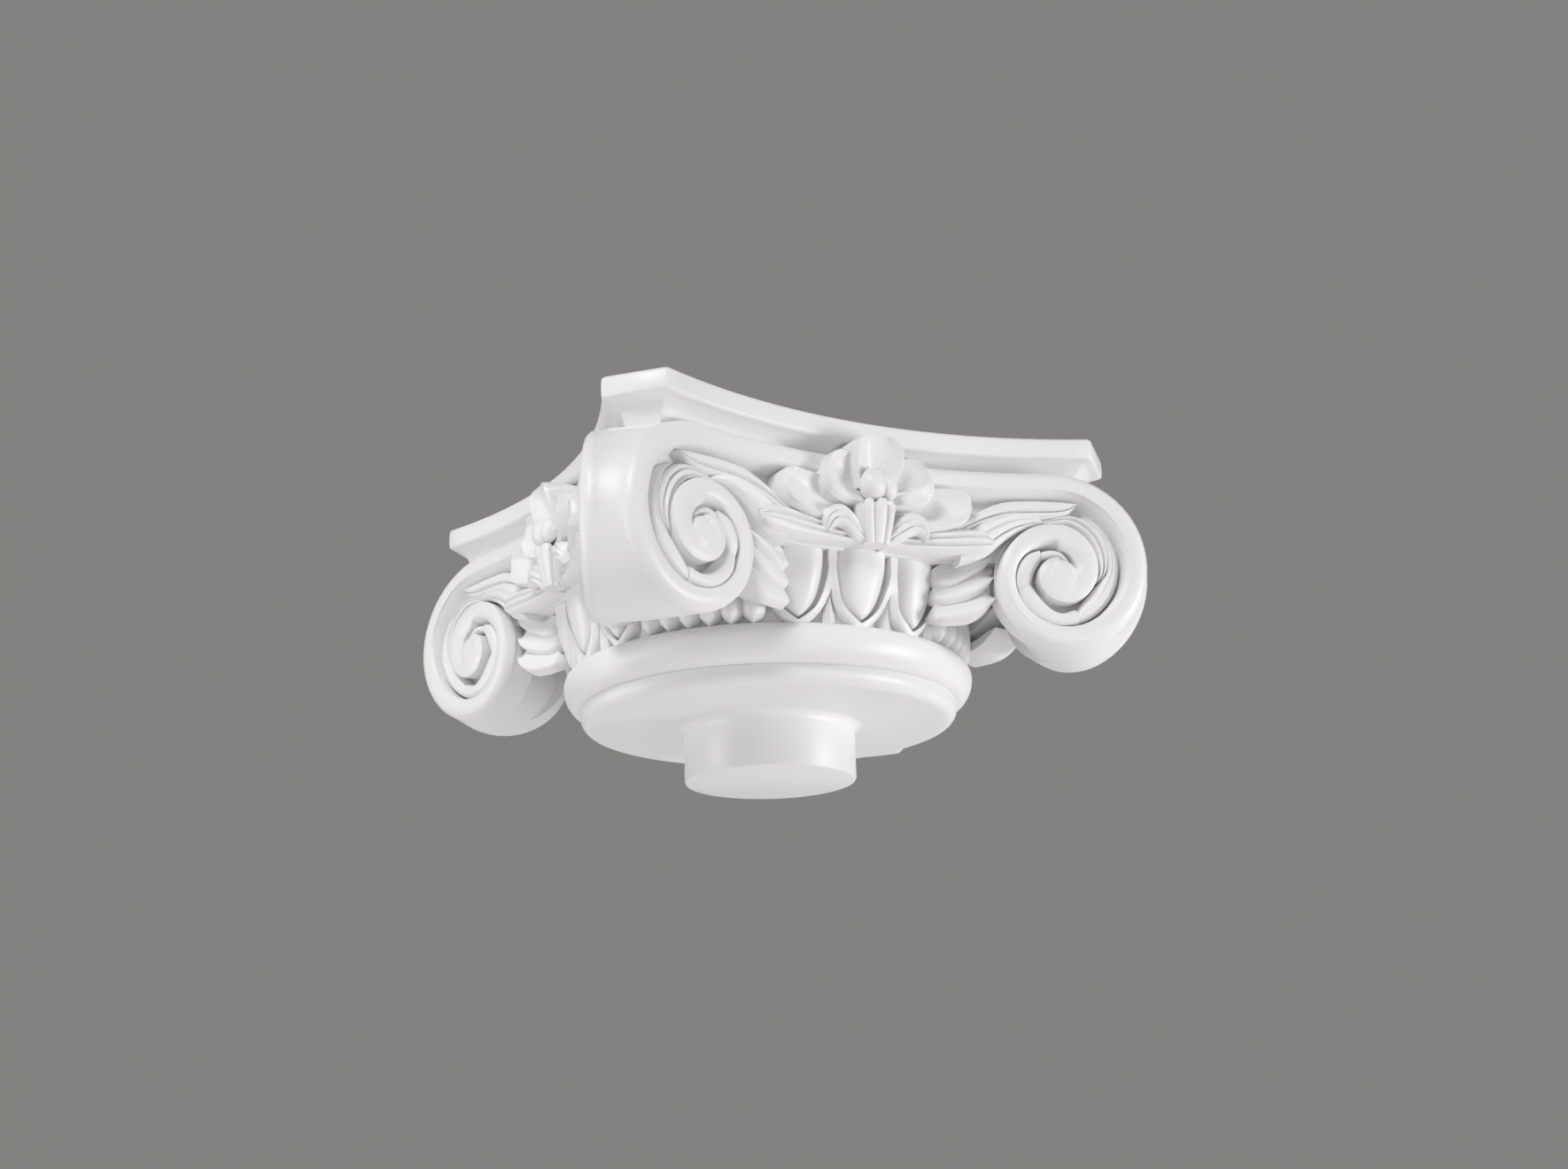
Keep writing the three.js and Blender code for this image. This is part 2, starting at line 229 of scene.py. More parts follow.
def join(whole, others, operation="UNION"):
    """Unite other objects into the first one or cut them out of it, and remove them."""
    for other in others:
        step = whole.modifiers.new("Join", "BOOLEAN")
        step.operation = operation
        step.solver = "MANIFOLD"
        step.object = other
    graph = bpy.context.evaluated_depsgraph_get()
    data = bpy.data.meshes.new_from_object(whole.evaluated_get(graph))
    whole.modifiers.clear()
    old = whole.data
    whole.data = data
    data.name = old.name
    bpy.data.meshes.remove(old)
    for other in others:
        bpy.data.meshes.remove(other.data)
    return whole


def copied(item, matrix):
    """Moved copy of an object, with the move kept in its mesh."""
    data = item.data.copy()
    data.transform(matrix)
    twin = bpy.data.objects.new(item.name, data)
    bpy.context.scene.collection.objects.link(twin)
    return twin


def quarter_turns(item):
    """The object and its copies on the other three sides."""
    sides = [copied(item, Matrix.Rotation(turns * QUARTER, 4, "Z")) for turns in (1, 2, 3)]
    return join(item, sides)


def plan_loop(place, inset, z, steps):
    """Plan of the abacus or of the carved block at one height, drawn in by an inset all round."""
    reach = SIDE_RADIUS + inset
    cut_line = CHORD + 1 - math.sqrt(2) * inset
    centre = 1 - SIDE_SAG + SIDE_RADIUS
    limit = math.pi / 4 + math.asin((cut_line - centre) / (math.sqrt(2) * reach))
    end = limit * SIDE_RADIUS
    loop = []
    for side in range(4):
        turn = Matrix.Rotation(side * QUARTER, 3, "Z")
        before = turn @ Matrix.Rotation(-QUARTER, 3, "Z") @ place(end, z, -inset)
        start = turn @ place(-end, z, -inset)
        finish = turn @ place(end, z, -inset)
        after = turn @ Matrix.Rotation(QUARTER, 3, "Z") @ place(-end, z, -inset)
        loop.append(start.lerp(before, SOFT_CORNER))
        for step in range(steps + 1):
            u = (end - SOFT_START) * (2 * step / steps - 1)
            loop.append(turn @ place(u, z, -inset))
        loop.append(finish.lerp(after, SOFT_CORNER))
    return loop


def plan_body(place, levels, steps=28):
    """Skin through plans at several insets and heights."""
    loops = [plan_loop(place, inset, z, steps) for inset, z in levels]
    last = len(loops) - 1
    return wrapped(last, len(loops[0]), lambda row, column: loops[round(row * last)][column])


def build_abacus():
    """Slab with hollow sides; from below, a small step, a rounded moulding and an upright edge."""
    round_steps = 7
    round_foot = 0.985
    round_inset = 0.016
    round_run = 0.055
    round_rise = 0.066
    round_bend = 1.3
    levels = [(0.083, 0.94), (0.075, 0.975), (0.071, round_foot)]
    for step in range(1, round_steps + 1):
        angle = QUARTER * step / round_steps
        inset = round_inset + round_run * math.cos(angle)
        levels.append((inset, round_foot + round_rise * math.sin(angle) ** round_bend))
    levels += [(0.010, 1.052), (0.004, 1.055), (0.001, 1.06), (0, 1.068), (-0.001, 1.09), (0, 1.118)]
    levels += [(0.003, 1.126), (0.008, HEIGHT), (0.02, HEIGHT), (0.08, HEIGHT)]
    return plan_body(on_side, levels)


def build_block():
    """Plain body behind the carved faces, up to the abacus."""
    return plan_body(on_face, [(-FLOOR, BLOCK_BOTTOM), (-FLOOR, BLOCK_TOP)])


def build_neck():
    """Spigot, bed ring, torus and the ring behind the eggs, turned in one."""
    steps_round = 128
    profile = [(0, 0), (0.306, 0), (0.314, 0.003), (0.3184, 0.012), (0.3184, 0.17)]
    profile += arc((0.3504, 0.173), (0.032, 0.032), math.pi, QUARTER, 6)
    profile += [(0.63, BED_HEIGHT)]
    profile += arc((0.657, BED_HEIGHT + 0.045), (0.045, 0.045), -QUARTER, 0, 6)
    profile += [(0.703, 0.268), (0.7, 0.272)]
    profile += arc((0.7, TORUS_HEIGHT), (0.0645, 0.088), -QUARTER, 0, 10)
    profile += arc((0.7, TORUS_HEIGHT), (0.0645, 0.054), 0, QUARTER, 8)[1:]
    profile += [(0.69, 0.42), (0.7, 0.5), (0.73, 0.6), (0.75, OVOLO_TOP), (0, OVOLO_TOP)]
    return turned(profile, steps_round)


def quarter_value(values, turn):
    """Value at a turn, from one value for each quarter turn."""
    return along(values, turn / QUARTER / (len(values) - 1))[0]


def spiral_point(turn, inward, w, side):
    """Place on a scroll, a distance inward from its outer edge."""
    reach = quarter_value(SPIRAL_RADII, turn) - inward
    return on_face(side * (SPIRAL_U + reach * math.sin(turn)), SPIRAL_V + reach * math.cos(turn), w)


def band_section(turn):
    """Section of the band: distance inward from the outer edge, and height."""
    width = quarter_value(BAND_WIDTHS, turn)
    top = quarter_value(BAND_TOPS, turn)
    cove = COVE_LEAST + COVE_ADDED * max(math.cos(turn - COVE_TURN), 0) * (turn < FULL_TURN)
    swell = RIM_SWELL * (1 - ease(turn / QUARTER - SWELL_QUARTERS))
    rim = [(0.004, ROOT), (-0.9 * swell, -0.06), (-swell, -0.04), (-0.7 * swell, top - 0.02)]
    rim += [(0.1 * swell, top - 0.007), (0.01, top - 0.001)]
    crown = [(0.018, top + 0.001), (0.35 * width, top + 0.004), (0.6 * width, top + 0.003)]
    flat_end = width - cove - 0.006
    inside = [(flat_end - 0.004, top - 0.001), (flat_end + 0.004, top - 0.008)]
    inside += [(width - 0.62 * cove, -0.035), (width - 0.3 * cove, -0.052)]
    inside += [(width, FLOOR - 0.004), (width, ROOT)]
    return rim + crown + inside


def build_band():
    """Both scrolls and the straight band between them, in one sweep."""
    half_rows = 108
    straight = 10
    end_turn = BAND_TURNS * FULL_TURN
    rows = 2 * (half_rows + straight)
    columns = len(band_section(0))

    def place(row, column):
        step = round(row * rows) - half_rows - straight
        side = 1 if step > 0 else -1
        turn = max(abs(step) - straight, 0) / half_rows * end_turn
        inward, w = band_section(turn)[column]
        if abs(step) <= straight:
            return on_face(SPIRAL_U * step / straight, SPIRAL_V + SPIRAL_RADII[0][0] - inward, w)
        return spiral_point(turn, inward, w, side)

    return wrapped(rows, columns, place)


def build_drum():
    """Bolster of one angle volute, from the front's right scroll to the left scroll of the next face."""
    around = 84
    across = 16
    end_inset = 0.01
    end_turn = DRUM_TURNS * FULL_TURN
    next_face = Matrix.Rotation(QUARTER, 3, "Z")

    def ends(turn, inward, w):
        return spiral_point(turn, inward, w, 1), next_face @ spiral_point(turn, inward, w, -1)

    def place(row, column):
        turn = end_turn * column / around
        step = round(row * (across + 4)) - 2
        share = min(max(step / across, 0), 1)
        near_heart = on_face(SPIRAL_U, SPIRAL_V, FLOOR)
        far_heart = next_face @ on_face(-SPIRAL_U, SPIRAL_V, FLOOR)
        if step in (-2, across + 2):
            return near_heart.lerp(far_heart, share)
        if step in (-1, across + 1):
            near, far = ends(turn, end_inset, FLOOR)
            return near.lerp(far, share)
        near, far = ends(turn, -DRUM_OUT, DRUM_BACK)
        middle = near_heart.lerp(far_heart, share)
        belly = DRUM_BELLY * max(-math.cos(turn), 0) ** 3
        pinch = 1 + (belly - DRUM_WAIST) * 4 * share * (1 - share)
        return middle + (near.lerp(far, share) - middle) * pinch

    return wrapped(across + 4, around + 1, place)


def leaf(place, left, right, crest, root, shape, rows=20, columns=10, taper=0):
    """Carved blade between two edges: its crest runs along it, and a shape says how it dips across.

    Its root is narrower by the taper.
    """

    def point(row, column):
        if column > columns:
            share = 1 - taper / 2 if column == columns + 1 else taper / 2
            height = root
        else:
            share = column / columns
            height = along(crest, row)[0] - shape(share, row)
        start = along(left, row)
        end = along(right, row)
        return place(mix(start[0], end[0], share), mix(start[1], end[1], share), height)

    return wrapped(rows, columns + 3, point)


def domed(drop, *grooves):
    """Rounded top that falls towards both edges, with grooves at some shares of the width.

    The grooves fade out towards both ends.
    """
    edge_bend = 3.4
    groove_width = 0.06
    fade_start = 0.03
    fade_span = 0.94
    fade_bend = 0.6

    def shape(across, along_share):
        fall = drop * abs(2 * across - 1) ** edge_bend
        fade = math.sin(math.pi * (along_share * fade_span + fade_start)) ** fade_bend
        for middle, depth in grooves:
            fall += depth * fade * math.exp(-(((across - middle) / groove_width) ** 2))
        return fall

    return shape


def scooped(hollow, lip):
    """Petal top: hollow in the middle, and rolled over along its sides and its free end."""
    roll_start = 0.86
    roll_width = 0.14

    def shape(across, along_share):
        reach = (abs(2 * across - 1) ** 4 + along_share**8) ** 0.25
        dish = hollow * (1 - min(reach / roll_start, 1) ** 2)
        roll = lip * max((reach - roll_start) / roll_width, 0) ** 2
        return dish + roll

    return shape


def heights(*values):
    """Heights of a leaf's crest, from its root to its tip."""
    return [(value,) for value in values]


def in_scroll(side):
    """Placing of a leaf by its distance from the middle of a scroll."""
    return lambda du, dv, w: on_face(side * (SPIRAL_U + du), SPIRAL_V + dv, w)


def on_half(side):
    """Placing of a leaf on the right half of the face, or mirrored on its left half."""
    return lambda u, v, w: on_face(side * u, v, w)


def build_husks(side):
    """Leaves that follow one another through the channel of a scroll."""
    place = in_scroll(side)
    long_leaf = leaf(
        place,
        [(-0.42, 0.15), (-0.30, 0.215), (-0.20, 0.262), (-0.10, 0.274),
         (0.0, 0.273), (0.06, 0.27), (0.09, 0.262)],
        [(-0.42, 0.09), (-0.30, 0.16), (-0.20, 0.19), (-0.10, 0.2),
         (-0.02, 0.203), (0.04, 0.216), (0.086, 0.255)],
        heights(-0.012, -0.004, 0.0, -0.002, -0.006, -0.014),
        ROOT,
        shape=domed(0.024, (0.62, 0.02)),
    )
    front_leaf = leaf(
        place,
        [(-0.36, 0.13), (-0.30, 0.168), (-0.24, 0.205), (-0.18, 0.225),
         (-0.12, 0.23), (-0.07, 0.218), (-0.038, 0.19)],
        [(-0.36, 0.03), (-0.30, 0.045), (-0.25, 0.068), (-0.20, 0.11),
         (-0.15, 0.145), (-0.10, 0.168), (-0.045, 0.183)],
        heights(0.0, 0.008, 0.012, 0.01, 0.004, -0.006),
        ROOT,
        shape=domed(0.028, (0.36, 0.02), (0.68, 0.018)),
    )
    upper_leaf = leaf(
        place,
        [(-0.05, 0.2), (0.02, 0.217), (0.06, 0.222), (0.10, 0.208), (0.145, 0.17),
         (0.175, 0.12), (0.187, 0.065), (0.18, 0.015), (0.16, -0.02), (0.128, -0.038)],
        [(-0.05, 0.17), (0.0, 0.172), (0.04, 0.164), (0.075, 0.14), (0.105, 0.105),
         (0.12, 0.065), (0.13, 0.025), (0.132, -0.005), (0.13, -0.025), (0.122, -0.042)],
        heights(-0.012, -0.008, -0.004, -0.004, -0.008, -0.016),
        ROOT,
        rows=28,
        columns=18,
        shape=domed(0.026, (0.33, 0.02), (0.68, 0.02)),
    )
    outer_leaf = leaf(
        place,
        [(0.10, 0.222), (0.155, 0.19), (0.195, 0.138), (0.217, 0.085), (0.223, 0.035),
         (0.213, -0.025), (0.188, -0.085), (0.15, -0.132), (0.10, -0.168), (0.048, -0.188)],
        [(0.09, 0.2), (0.135, 0.16), (0.165, 0.115), (0.178, 0.065), (0.173, 0.005),
         (0.152, -0.025), (0.122, -0.055), (0.088, -0.095), (0.06, -0.13), (0.044, -0.165)],
        heights(-0.04, -0.022, -0.014, -0.008, -0.006, -0.012),
        ROOT,
        rows=30,
        shape=domed(0.026, (0.5, 0.006)),
    )
    under_leaf = leaf(
        place,
        [(0.062, -0.186), (0.02, -0.192), (-0.01, -0.193), (-0.05, -0.188),
         (-0.09, -0.168), (-0.12, -0.142), (-0.142, -0.11), (-0.15, -0.07)],
        [(0.05, -0.13), (0.02, -0.14), (0.0, -0.142), (-0.03, -0.13),
         (-0.06, -0.10), (-0.08, -0.07), (-0.09, -0.05), (-0.10, -0.034)],
        heights(0.0, 0.002, 0.002, 0.0, -0.006),
        ROOT,
        shape=domed(0.028),
    )
    inner_leaf = leaf(
        place,
        [(-0.145, -0.075), (-0.156, -0.04), (-0.155, -0.005), (-0.143, 0.03),
         (-0.122, 0.06), (-0.095, 0.078), (-0.068, 0.084)],
        [(-0.10, -0.04), (-0.096, -0.02), (-0.088, 0.005), (-0.076, 0.025),
         (-0.066, 0.04), (-0.06, 0.055), (-0.062, 0.078)],
        heights(-0.01, 0.0, 0.004, 0.002, -0.006),
        ROOT,
        shape=domed(0.02),
    )
    eye_leaf = leaf(
        place,
        [(-0.07, 0.078), (-0.04, 0.086), (-0.01, 0.086), (0.02, 0.073), (0.043, 0.047), (0.05, 0.02)],
        [(-0.062, 0.05), (-0.035, 0.06), (-0.01, 0.062), (0.012, 0.052), (0.03, 0.034), (0.043, 0.016)],
        heights(-0.012, -0.006, -0.004, -0.008, -0.016),
        ROOT,
        rows=14,
        shape=domed(0.016),
    )
    return [long_leaf, front_leaf, upper_leaf, outer_leaf, under_leaf, inner_leaf, eye_leaf]


def build_eye(side):
    """Round end of a scroll."""
    place = in_scroll(side)
    middle_u = 0.004
    middle_v = -0.018
    rings = [(0.0, 0.024), (0.03, 0.0235), (0.046, 0.021), (0.056, 0.015)]
    rings += [(0.062, 0.004), (0.066, -0.012), (0.08, FLOOR)]
    columns = 32

    def point(row, column):
        reach, height = rings[round(row * (len(rings) - 1))]
        turn = FULL_TURN * column / columns
        return place(middle_u + reach * math.cos(turn), middle_v + reach * math.sin(turn), height)

    return wrapped(len(rings) - 1, columns, point)


def build_lower_leaf(side):
    """Long leaf that springs sideways from under the flower and covers the tops of the eggs."""
    return leaf(
        on_half(side),
        [(-0.04, 0.71), (0.06, 0.715), (0.15, 0.725), (0.24, 0.74),
         (0.34, 0.754), (0.42, 0.75), (0.458, 0.722)],
        [(-0.04, 0.668), (0.06, 0.667), (0.15, 0.664), (0.24, 0.662),
         (0.34, 0.662), (0.42, 0.67), (0.454, 0.69)],
        heights(0.012, 0.016, 0.018, 0.022, 0.026, 0.018),
        -0.14,
        rows=24,
        columns=16,
        shape=domed(0.022, (0.34, 0.02), (0.66, 0.02)),
    )


def overlapping(recess, lip):
    """Scale-like top: low along its upper edge, proud above its lower edge, where it rolls under."""
    proud = 0.75

    def shape(across, along_share):
        return recess * (1 - ease(across / proud)) + lip * max((across - proud) / (1 - proud), 0) ** 2

    return shape


def build_palmette(side):
    """Three drops that fan out from the eggs to the scroll, each over the next."""
    drop_count = 3
    first_root = 0.605
    root_step = 0.066
    first_tip = 0.69
    tip_step = 0.078
    depth = -0.2
    crest = heights(-0.12, -0.09, -0.075, -0.056, -0.045, -0.06)
    top = overlapping(0.03, 0.04)
    shapes = []
    for order in range(drop_count):
        root = first_root - root_step * order
        tip = first_tip - tip_step * order
        upper = [(0.268, root + 0.01), (0.28, root + 0.04), (0.325, root + 0.062)]
        upper += [(0.39, tip + 0.012), (0.44, tip + 0.016), (0.482, tip)]
        lower = [(0.27, root - 0.01), (0.285, root - 0.036), (0.33, root - 0.04)]
        lower += [(0.39, tip - 0.095), (0.44, tip - 0.062), (0.48, tip - 0.008)]
        shapes.append(leaf(on_half(side), upper, lower, crest, depth, columns=14, shape=top, taper=0.7))
    return shapes


def build_cup():
    """Cup of the flower, grooved between its ribs."""
    columns = 72
    grooves = 8
    groove_bend = 6
    groove_depth = 0.28
    notch = 0.012
    middle = 0.012
    levels = [(0.66, 0.05), (0.68, 0.056), (0.7, 0.06), (0.74, 0.07), (0.78, 0.077), (0.8, 0.078)]
    levels += [(0.812, 0.07), (0.818, 0.05), (0.818, 0.01)]

    def point(row, column):
        v, half = levels[round(row * (len(levels) - 1))]
        turn = FULL_TURN * column / columns
        groove = abs(math.sin(grooves / 2 * turn)) ** groove_bend
        reach = half * (1 - groove_depth * groove)
        bulge = 1.1 * reach * math.sin(turn) * (0.7 + 0.3 * row)
        return on_face(reach * math.cos(turn), v - notch * groove * row, middle + bulge)

    return wrapped(len(levels) - 1, columns, point)


def build_bud(u, v, wide, tall):
    """Ball of the bud in the cup."""
    out = 0.046
    ball = bmesh.new()
    bmesh.ops.create_uvsphere(ball, u_segments=20, v_segments=14, radius=HALF_SIDE)
    bmesh.ops.scale(ball, verts=ball.verts, vec=(wide, wide, tall))
    bmesh.ops.translate(ball, verts=ball.verts, vec=on_face(u, v, out))
    return ball


def build_flower():
    """Open flower: five petals and two small leaves round a ribbed cup that holds a bud."""
    shapes = []
    for side in (1, -1):
        place = on_half(side)
        shapes.append(
            leaf(
                place,
                [(0.0, 0.93), (0.045, 0.965), (0.085, 0.984),
                 (0.125, 0.99), (0.17, 0.975), (0.194, 0.948)],
                [(0.02, 0.8), (0.09, 0.8), (0.15, 0.805), (0.2, 0.828), (0.223, 0.878), (0.206, 0.92)],
                heights(0.03, 0.034, 0.044, 0.056, 0.066, 0.052),
                ROOT,
                rows=24,
                columns=16,
                shape=scooped(0.034, 0.014),
            )
        )
        shapes.append(
            leaf(
                place,
                [(0.03, 0.85), (0.12, 0.88), (0.2, 0.894),
                 (0.28, 0.898), (0.346, 0.894), (0.374, 0.87)],
                [(0.03, 0.72), (0.12, 0.72), (0.2, 0.73), (0.28, 0.744), (0.35, 0.772), (0.38, 0.815)],
                heights(0.02, 0.02, 0.024, 0.034, 0.046, 0.03),
                ROOT,
                rows=24,
                columns=16,
                shape=scooped(0.036, 0.016),
            )
        )
        shapes.append(
            leaf(
                place,
                [(0.04, 0.71), (0.09, 0.765), (0.14, 0.788),
                 (0.185, 0.775), (0.212, 0.74), (0.205, 0.7)],
                [(0.04, 0.66), (0.09, 0.675), (0.13, 0.702),
                 (0.155, 0.71), (0.17, 0.703), (0.185, 0.688)],
                heights(0.025, 0.045, 0.056, 0.056, 0.046, 0.028),
                ROOT,
                columns=16,
                shape=domed(0.024, (0.3, 0.012), (0.62, 0.014)),
            )
        )
    shapes.append(
        leaf(
            on_face,
            [(-0.07, 0.86), (-0.092, 0.92), (-0.104, 0.965),
             (-0.1, 1.005), (-0.076, 1.036), (-0.034, 1.05)],
            [(0.07, 0.86), (0.092, 0.92), (0.104, 0.965), (0.1, 1.005), (0.076, 1.036), (0.034, 1.05)],
            heights(0.04, 0.058, 0.072, 0.082, 0.084, 0.066),
            ROOT - 0.06,
            rows=24,
            columns=18,
            shape=scooped(0.042, 0.014),
        )
    )
    shapes.append(build_cup())
    shapes.append(build_bud(-0.02, 0.87, 0.048, 0.058))
    shapes.append(build_bud(0.042, 0.864, 0.032, 0.046))
    return shapes


# Half widths of an egg and of its shell against their heights, in half turns of the ring.
EGG_EDGE = ((0.042, 0.69), (0.042, 0.65), (0.0405, 0.6), (0.037, 0.55), (0.031, 0.5))
EGG_EDGE += ((0.0225, 0.465), (0.011, 0.44))
SHELL_EDGE = ((0.056, 0.69), (0.056, 0.62), (0.053, 0.56), (0.047, 0.505), (0.038, 0.46))
SHELL_EDGE += ((0.022, 0.42), (0.006, 0.393))

# Ring behind the eggs: its radius below, how far it flares, and where the flare starts and how high it is.
RING_RADIUS = 0.7
RING_FLARE = 0.045
FLARE_START = 0.4
FLARE_HEIGHT = 0.28


def on_egg_ring(across, z, out):
    """Place on the flared ring behind the eggs: across in half turns, out from the ring."""
    radius = RING_RADIUS + RING_FLARE * ease((z - FLARE_START) / FLARE_HEIGHT)
    return on_ring(math.pi * across, radius + out, z)


def egg_shape(edge, widen, tip, crest, root, fall, rows=20, columns=14):
    """Pointed drop between two mirrored edges that meet at a tip."""
    tip_half = 0.001
    left = [(-half - widen, z) for half, z in edge] + [(-tip_half, tip)]
    right = [(half + widen, z) for half, z in edge] + [(tip_half, tip)]
    return leaf(on_egg_ring, left, right, crest, root, fall, rows, columns)


def rounded(drop, bend):
    """Top that falls by the drop at both edges, flatter in the middle with a higher bend."""
    return lambda across, along_share: drop * abs(2 * across - 1) ** bend


def shell_fall(across, along_share):
    """Shells run together above, and part towards their tips."""
    drop = 0.02
    part_start = 0.28
    part_length = 0.2
    return drop * abs(2 * across - 1) ** 6 * ease((along_share - part_start) / part_length)


def build_egg():
    """One egg in its shell, at the front of the ring, and the dart on its right."""
    shell_crest = heights(0.034, 0.038, 0.04, 0.038, 0.036, 0.03, 0.026)
    shell = egg_shape(SHELL_EDGE, 0, 0.39, shell_crest, -0.08, shell_fall)
    hollow = egg_shape(EGG_EDGE, 0.0042, 0.418, heights(0.12, 0.12), 0.004, rounded(0, 1))
    body_crest = heights(0.052, 0.054, 0.056, 0.054, 0.048, 0.042, 0.03)
    body = egg_shape(EGG_EDGE, 0, 0.429, body_crest, -0.06, rounded(0.05, 3.6))
    dart = leaf(
        on_egg_ring,
        [(0.049, 0.54), (0.043, 0.47), (0.04, 0.42), (0.043, 0.395)],
        [(0.051, 0.54), (0.057, 0.47), (0.06, 0.42), (0.057, 0.395)],
        heights(0.012, 0.024, 0.028, 0.022),
        -0.08,
        rows=8,
        columns=6,
        shape=rounded(0.02, 1),
    )
    socket = join(keep(shell, "Eggs"), [keep(hollow, "Hollow")], "DIFFERENCE")
    return join(socket, [keep(body, "Egg"), keep(dart, "Dart")])


# Half widths of a leaf end under a volute, against its heights.
END_EDGE = ((0.018, 0.58), (0.0195, 0.52), (0.019, 0.47), (0.015, 0.435))
END_PITCH = math.radians(6)
END_COUNT = 6

# Eggs nearer to a corner than this are left out, because the volute stands there.
CORNER_COVER = math.radians(15)


def build_leaf_end():
    """Rounded leaf end on the ring, at its front."""
    crest = heights(0.03, 0.05, 0.06, 0.058, 0.035)
    return egg_shape(END_EDGE, 0, 0.408, crest, -0.08, rounded(0.04, 2.4), 14, 10)


# Studio: the floor's half width in metres, and the lights by name, place, size and power.
FLOOR_SIZE = 6
LIGHTS = (
    ("Key", (1.15, -1.1, -0.24), 0.5, 2.0),
    ("Near corner", (-1.5, -1.3, 1.6), 0.9, 5.4),
    ("Left fill", (-1.9, 0.3, -0.1), 0.6, 1.3),
)
LIGHT_SPREAD = math.radians(70)
LIGHT_AIM = (0, 0, 0.11)

# Camera of the photo: its place, the direction it looks back from, its roll, and its lens in millimetres.
CAMERA_PLACE = (-0.5627, -1.1239, -0.2552)
CAMERA_BACK = (-0.436, -0.849, -0.299)
CAMERA_ROLL = math.radians(-1.75)
SENSOR_WIDTH = 36
FOCAL_LENGTH = 43.89


def colour(name, description, default):
    """Colour that the user can change."""
    return bpy.props.FloatVectorProperty(
        name=name, description=description, default=default, size=4, min=0, max=1, subtype="COLOR"
    )


class CAPITAL_PG_settings(bpy.types.PropertyGroup):
    """Sizes and colours of the capital and its stage that the operators read."""

    egg_count: bpy.props.IntProperty(
        name="Eggs", description="Places for eggs round the ring", default=20, min=12, max=28
    )
    floor_height: bpy.props.FloatProperty(
        name="Floor height", description="Height of the studio floor", default=-0.6, unit="LENGTH"
    )
    white: colour("White", "White of the moulding where it is darker", (0.80, 0.801, 0.803, 1))
    light_white: colour("Light white", "White of the moulding where it is lighter", (0.84, 0.841, 0.844, 1))
    floor_colour: colour("Floor", "Floor where it is darker", (0.55, 0.545, 0.535, 1))
    light_floor: colour("Light floor", "Floor where it is lighter", (0.6, 0.596, 0.588, 1))
    studio_grey: colour("Studio grey", "Grey all round the stage", (0.226, 0.222, 0.212, 1))


class CAPITAL_OT_body(bpy.types.Operator):
    """Build the neck, the block and the abacus."""

    bl_idname = "capital.body"
    bl_label = "Body"

    def execute(self, context):
        united("Body", [build_neck(), build_block(), build_abacus()])
        return {"FINISHED"}


class CAPITAL_OT_volutes(bpy.types.Operator):
    """Build the bands and the corner volutes."""

    bl_idname = "capital.volutes"
    bl_label = "Volutes"

    def execute(self, context):
        quarter = united("Volutes", [build_band(), build_drum()])
        quarter_turns(quarter)
        return {"FINISHED"}


class CAPITAL_OT_eggs(bpy.types.Operator):
    """Build the ring of eggs and darts, with leaf ends under the volutes."""

    bl_idname = "capital.eggs"
    bl_label = "Egg and dart"

    def execute(self, context):
        count = context.scene.capital_settings.egg_count
        pitch = FULL_TURN / count
        corner = QUARTER / 2
        first = build_egg()
        others = []
        for number in range(1, count):
            from_corner = abs((number * pitch) % QUARTER - corner)
            if from_corner > CORNER_COVER:
                others.append(copied(first, Matrix.Rotation(number * pitch, 4, "Z")))
        leaf_end = keep(build_leaf_end(), "Leaf end")
        for quarter in range(4):
            for number in range(END_COUNT):
                turn = (quarter + 0.5) * QUARTER + (number - (END_COUNT - 1) / 2) * END_PITCH
                others.append(copied(leaf_end, Matrix.Rotation(turn, 4, "Z")))
        bpy.data.meshes.remove(leaf_end.data)
        join(first, others)
        return {"FINISHED"}


class CAPITAL_OT_carving(bpy.types.Operator):
    """Build the leaves and the flower of each face."""

    bl_idname = "capital.carving"
    bl_label = "Carving"

    def execute(self, context):
        shapes = build_flower()
        for side in (1, -1):
            shapes += build_husks(side)
            shapes.append(build_eye(side))
            shapes.append(build_lower_leaf(side))
            shapes += build_palmette(side)
        quarter_turns(united("Carving", shapes))
        return {"FINISHED"}


class CAPITAL_OT_finish(bpy.types.Operator):
    """Join the parts into one moulding and give it its finish."""

    bl_idname = "capital.finish"
    bl_label = "Join and finish"

    def execute(self, context):
        names = ("Body", "Volutes", "Eggs", "Carving")
        missing = [name for name in names if name not in bpy.data.objects]
        if missing:
            raise RuntimeError("Not built yet: " + ", ".join(missing))
        whole, *others = [bpy.data.objects[name] for name in names]
        join(whole, others)
        whole.name = "capital_moulding"
        mesh = whole.data
        mesh.shade_smooth()
        mesh.set_sharp_from_angle(angle=SHARP_ANGLE)
        mesh.materials.clear()
        mesh.materials.append(white_finish(context.scene.capital_settings))
        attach(whole, "root")
        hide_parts("capital")
        return {"FINISHED"}


